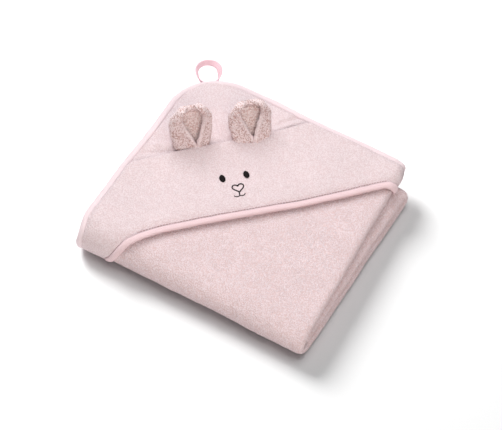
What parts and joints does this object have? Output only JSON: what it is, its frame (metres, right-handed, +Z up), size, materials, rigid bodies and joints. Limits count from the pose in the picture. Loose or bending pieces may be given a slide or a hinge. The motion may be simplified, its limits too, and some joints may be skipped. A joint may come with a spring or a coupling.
{
  "type": "hooded baby towel",
  "caption": "Folded square terry bath towel for a baby, with a corner hood that has an embroidered animal face, standing ears and a hanging loop.",
  "frame": {"origin": "centre of the folded stack's flat underside", "axes": "+Z up; +X across, away from the bound edges; the front roll is along -Y; the hooded corner is at -X +Y"},
  "size_m": [0.2866, 0.2896, 0.0903],
  "materials": {
    "terry_pink": "looped cotton terry, matt",
    "terry_pale": "fine cotton terry, matt",
    "terry_dusty": "curly cotton terry, matt",
    "lining_pink": "brushed cotton terry, matt",
    "woven_tape": "plain-woven cotton tape, slight sheen",
    "black_thread": "embroidery thread, satin sheen"
  },
  "bodies": {
    "base": {"towel_lower_folds": "terry_pink", "edge_binding_middle": "woven_tape", "edge_binding_bottom": "woven_tape"},
    "top_fold": {"towel_top_fold": "terry_pink", "hood_crown_panel": "terry_pale", "hood_face_panel": "terry_pale", "hood_edge_binding": "woven_tape", "edge_binding_top": "woven_tape", "eye_left": "black_thread", "eye_right": "black_thread", "nose": "black_thread", "lip_line": "black_thread", "mouth": "black_thread", "hanging_loop_tab": "woven_tape"},
    "ear_left": {"ear_left_outer": "terry_dusty", "ear_left_lining": "lining_pink"},
    "ear_right": {"ear_right_outer": "terry_dusty", "ear_right_lining": "lining_pink"},
    "loop": {"hanging_loop": "woven_tape"}
  },
  "joints": [
    {"name": "top_fold_open", "type": "hinge", "parent": "base", "child": "top_fold", "pos_m": [0, -0.1406, 0.0198], "axis": [1, 0, 0], "range_deg": [0, 165]},
    {"name": "ear_left_tilt", "type": "hinge", "parent": "top_fold", "child": "ear_left", "pos_m": [-0.087, 0.02712, 0.0461], "axis": [0.7071, 0.7071, 0], "range_deg": [-52, 46]},
    {"name": "ear_right_tilt", "type": "hinge", "parent": "top_fold", "child": "ear_right", "pos_m": [-0.0399, 0.07421, 0.0461], "axis": [0.7071, 0.7071, 0], "range_deg": [-52, 46]},
    {"name": "loop_swing", "type": "hinge", "parent": "top_fold", "child": "loop", "pos_m": [-0.12255, 0.12645, 0.0396], "axis": [0.7071, 0.7071, 0], "range_deg": [-70, 80]}
  ]
}
